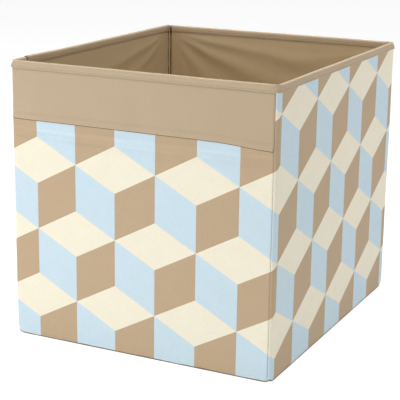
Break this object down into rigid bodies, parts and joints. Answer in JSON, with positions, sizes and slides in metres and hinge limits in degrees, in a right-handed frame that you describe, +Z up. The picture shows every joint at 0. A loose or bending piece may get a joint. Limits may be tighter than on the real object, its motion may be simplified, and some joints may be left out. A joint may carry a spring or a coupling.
{
  "type": "fabric storage bin",
  "caption": "Open-topped rectangular fabric bin with stiff printed walls, plain rim binding and front grip flap; folds flat once its hinged base board is raised.",
  "frame": {"origin": "middle of the underside, on the surface that the bin stands on", "axes": "+X to the right along the front, +Y from the front to the back, +Z up; the front with the grip flap faces -Y"},
  "size_m": [0.3324, 0.3824, 0.328],
  "materials": {
    "printed_cloth": "matte woven cloth printed with tumbling blocks in cream, pale blue and tan",
    "plain_cloth": "matte plain beige cloth",
    "lining_cloth": "matte beige non-woven lining",
    "stiffener_board": "grey-brown pressed board, hidden inside the cloth"
  },
  "bodies": {
    "left_wall": {"left_wall_print_cloth": "printed_cloth", "left_wall_board": "stiffener_board", "left_wall_lining": "lining_cloth", "left_wall_rim_binding": "plain_cloth", "base_cloth": "lining_cloth", "base_insert_wall_leaf": "lining_cloth"},
    "front_left_half": {"front_left_print_cloth": "printed_cloth", "front_left_board": "stiffener_board", "front_left_lining": "lining_cloth", "front_left_rim_binding": "plain_cloth", "front_left_grip_flap": "plain_cloth"},
    "front_right_half": {"front_right_print_cloth": "printed_cloth", "front_right_board": "stiffener_board", "front_right_lining": "lining_cloth", "front_right_rim_binding": "plain_cloth", "front_right_grip_flap": "plain_cloth"},
    "right_wall": {"right_wall_print_cloth": "printed_cloth", "right_wall_board": "stiffener_board", "right_wall_lining": "lining_cloth", "right_wall_rim_binding": "plain_cloth"},
    "back_left_half": {"back_left_print_cloth": "printed_cloth", "back_left_board": "stiffener_board", "back_left_lining": "lining_cloth", "back_left_rim_binding": "plain_cloth"},
    "back_right_half": {"back_right_print_cloth": "printed_cloth", "back_right_board": "stiffener_board", "back_right_lining": "lining_cloth", "back_right_rim_binding": "plain_cloth"},
    "base_insert": {"base_insert_board": "stiffener_board", "base_insert_sleeve": "lining_cloth", "base_insert_board_leaf": "lining_cloth"}
  },
  "joints": [
    {"name": "wall_fold", "type": "hinge", "parent": "left_wall", "child": "front_left_half", "pos_m": [-0.157, -0.1865, 0], "axis": [0, 0, 1], "range_deg": [0, 89], "deforming": ["base_cloth"]},
    {"name": "front_crease", "type": "hinge", "parent": "front_left_half", "child": "front_right_half", "pos_m": [0, -0.192, 0], "axis": [0, 0, 1], "range_deg": [-178, 0]},
    {"name": "front_right_corner", "type": "hinge", "parent": "front_right_half", "child": "right_wall", "pos_m": [0.157, -0.1865, 0], "axis": [0, 0, 1], "range_deg": [0, 89]},
    {"name": "back_left_corner", "type": "hinge", "parent": "left_wall", "child": "back_left_half", "pos_m": [-0.157, 0.1865, 0], "axis": [0, 0, 1], "range_deg": [-89, 0]},
    {"name": "back_crease", "type": "hinge", "parent": "back_left_half", "child": "back_right_half", "pos_m": [0, 0.192, 0], "axis": [0, 0, 1], "range_deg": [0, 178]},
    {"name": "base_insert_hinge", "type": "hinge", "parent": "left_wall", "child": "base_insert", "pos_m": [-0.1603, 0, 0.003], "axis": [0, -1, 0], "range_deg": [0, 90]}
  ],
  "couplings": [
    {"joint": "front_crease", "follows": "wall_fold", "ratio": -2},
    {"joint": "front_right_corner", "follows": "wall_fold", "ratio": 1},
    {"joint": "back_left_corner", "follows": "wall_fold", "ratio": -1},
    {"joint": "back_crease", "follows": "wall_fold", "ratio": 2}
  ]
}
